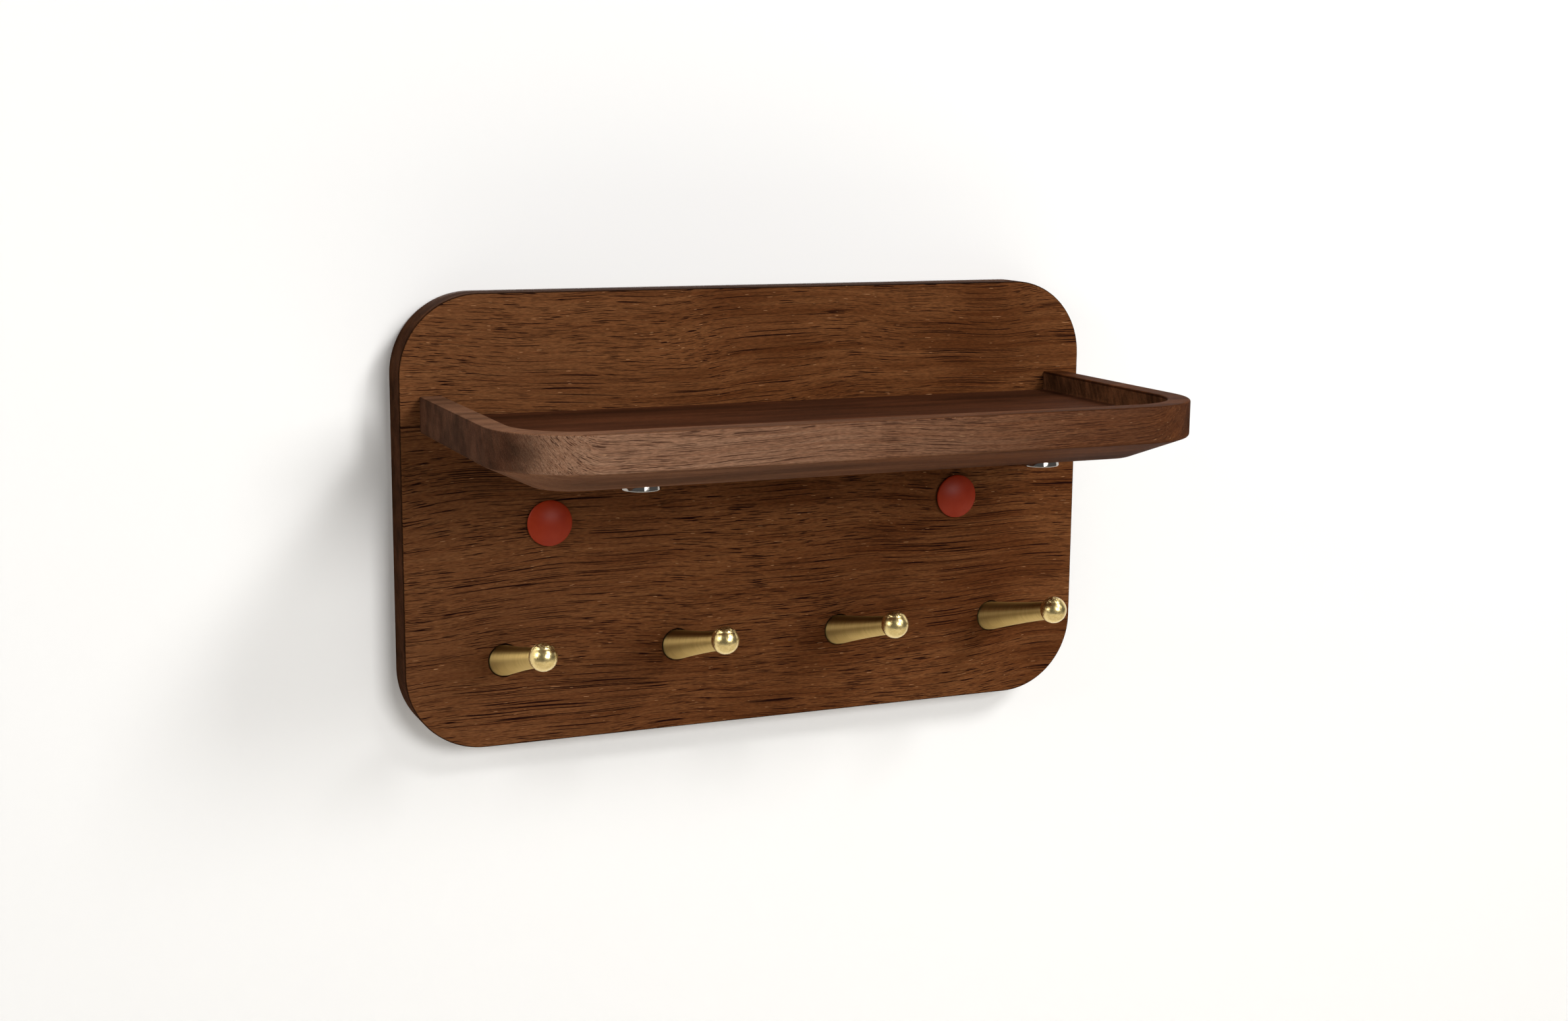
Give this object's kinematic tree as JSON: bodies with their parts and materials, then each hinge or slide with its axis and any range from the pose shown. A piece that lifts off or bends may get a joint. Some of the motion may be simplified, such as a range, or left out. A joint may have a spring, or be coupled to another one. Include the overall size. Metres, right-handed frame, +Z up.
{
  "type": "wall key holder",
  "caption": "Wall-mounted wooden key holder: rounded board with a rimmed shelf tray above a row of slanted ball-ended brass pegs, key magnets under the tray and domed screw caps.",
  "frame": {"origin": "centre of the board's back face, on the wall", "axes": "+X along the board, to the right as seen from the room; +Y into the wall; +Z up"},
  "size_m": [0.3, 0.1383, 0.181],
  "materials": {
    "board_wood": "walnut-stained hardwood, satin",
    "tray_wood": "walnut-stained hardwood, satin",
    "peg_brass": "brushed shank, polished ball",
    "cap_plastic": "moulded, satin",
    "magnet_nickel": "bright nickel plate",
    "screw_steel": "zinc plate",
    "dowel_beech": "plain beech"
  },
  "bodies": {
    "holder": {"back_board": "board_wood", "shelf_tray": "tray_wood", "peg_1": "peg_brass", "peg_2": "peg_brass", "peg_3": "peg_brass", "peg_4": "peg_brass", "peg_screw_1": "screw_steel", "peg_screw_2": "screw_steel", "peg_screw_3": "screw_steel", "peg_screw_4": "screw_steel", "shelf_screw_1": "screw_steel", "shelf_screw_2": "screw_steel", "shelf_screw_3": "screw_steel", "shelf_dowel_left": "dowel_beech", "shelf_dowel_right": "dowel_beech", "key_magnet_left": "magnet_nickel", "key_magnet_right": "magnet_nickel", "magnet_screw_left": "screw_steel", "magnet_screw_right": "screw_steel"},
    "cap_left": {"screw_cap_left": "cap_plastic"},
    "cap_right": {"screw_cap_right": "cap_plastic"}
  },
  "joints": [
    {"name": "cap_left_pull", "type": "slide", "parent": "holder", "child": "cap_left", "axis": [0, -1, 0], "range_m": [0, 0.01]},
    {"name": "cap_right_pull", "type": "slide", "parent": "holder", "child": "cap_right", "axis": [0, -1, 0], "range_m": [0, 0.01]}
  ]
}
